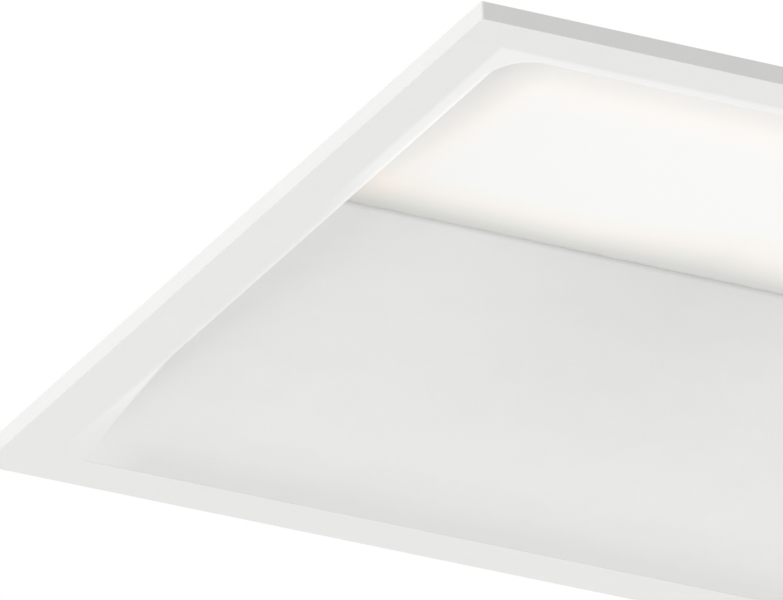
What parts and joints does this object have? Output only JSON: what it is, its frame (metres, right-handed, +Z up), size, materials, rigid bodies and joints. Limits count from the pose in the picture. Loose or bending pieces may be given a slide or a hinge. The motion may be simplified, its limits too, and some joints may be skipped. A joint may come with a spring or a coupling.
{
  "type": "square recessed light",
  "caption": "Square lay-in ceiling light: flat rim around a shallow recess, half backlit opal field, half matt white panel rising to a ridge, with wired back box.",
  "frame": {"origin": "centre of the rim's room-side face", "axes": "+Z up into the ceiling, -Y towards the lit half, +Y towards the matt white half, X along the ridge"},
  "size_m": [0.595, 0.595, 0.088],
  "materials": {
    "rim_white": "smooth matt white powder coat",
    "panel_white": "matt white powder coat",
    "opal": "satin opal acrylic",
    "seal_grey": "matt light grey sealing strip",
    "foam": "white closed-cell foam",
    "bar_aluminium": "extruded, satin",
    "hopper_white": "gloss white reflective paint",
    "sheet_zinc": "galvanised sheet",
    "screw_zinc": "bright zinc plate",
    "board_white": "white solder mask on board",
    "board_green": "green solder mask on board",
    "chip_phosphor": "yellow phosphor lens",
    "connector_nylon": "natural nylon",
    "driver_white": "white stove enamel",
    "gear_dark": "dark moulded parts",
    "terminal_grey": "light grey moulding",
    "button_orange": "orange moulding",
    "grommet_black": "soft black moulding",
    "earth_brass": "plain brass",
    "mains_insulation": "brown and blue sleeving",
    "earth_insulation": "green and yellow sleeving",
    "feed_insulation": "red and black sleeving"
  },
  "bodies": {
    "fixture": {"front_frame": "rim_white", "reflector_panel": "panel_white", "diffuser": "opal", "ridge_seal": "seal_grey", "diffuser_gasket": "foam", "retainer_left": "bar_aluminium", "retainer_right": "bar_aluminium", "retainer_near": "bar_aluminium", "ridge_rail": "bar_aluminium", "rail_spacers": "bar_aluminium", "led_plate": "bar_aluminium", "plate_spacers": "bar_aluminium", "retainer_screws": "screw_zinc", "rail_screws": "screw_zinc", "ridge_rivets": "bar_aluminium", "board_screws": "screw_zinc", "gear_screws": "screw_zinc", "frame_studs": "screw_zinc", "frame_nuts": "screw_zinc", "hinge_pins": "screw_zinc", "housing": "sheet_zinc", "gear_tray": "sheet_zinc", "hinge_leaves": "sheet_zinc", "hanger_lugs": "sheet_zinc", "driver_base": "sheet_zinc", "light_box": "hopper_white", "led_board_1": "board_white", "led_board_2": "board_white", "led_board_3": "board_white", "led_chips_1": "chip_phosphor", "led_chips_2": "chip_phosphor", "led_chips_3": "chip_phosphor", "board_connectors": "connector_nylon", "board_links": "feed_insulation", "dc_leads": "feed_insulation", "mains_leads": "mains_insulation", "earth_lead": "earth_insulation", "earth_stud": "earth_brass", "earth_nut": "earth_brass", "earth_washer": "earth_brass", "cable_grommet": "grommet_black", "cord_grip": "terminal_grey", "terminal_block": "terminal_grey", "driver_board": "board_green", "driver_parts": "gear_dark", "driver_cover": "driver_white", "driver_input_terminal": "terminal_grey", "driver_output_terminal": "terminal_grey"},
    "gear_lid": {"gear_lid": "sheet_zinc"},
    "lid_latch": {"latch_knob": "gear_dark", "latch_cam": "screw_zinc"},
    "button_1": {"terminal_button_1": "button_orange"},
    "button_2": {"terminal_button_2": "button_orange"},
    "button_3": {"terminal_button_3": "button_orange"}
  },
  "joints": [
    {"name": "gear_lid_hinge", "type": "hinge", "parent": "fixture", "child": "gear_lid", "pos_m": [0, 0.226, 0.0822], "axis": [-1, 0, 0], "range_deg": [0, 105]},
    {"name": "lid_latch_turn", "type": "hinge", "parent": "gear_lid", "child": "lid_latch", "pos_m": [0, 0.104, 0.081], "axis": [0, 0, 1], "range_deg": [0, 90]},
    {"name": "terminal_button_1_press", "type": "slide", "parent": "fixture", "child": "button_1", "axis": [0, 0, -1], "range_m": [0, 0.002], "stiffness_N_per_m": 1500},
    {"name": "terminal_button_2_press", "type": "slide", "parent": "fixture", "child": "button_2", "axis": [0, 0, -1], "range_m": [0, 0.002], "stiffness_N_per_m": 1500},
    {"name": "terminal_button_3_press", "type": "slide", "parent": "fixture", "child": "button_3", "axis": [0, 0, -1], "range_m": [0, 0.002], "stiffness_N_per_m": 1500}
  ]
}
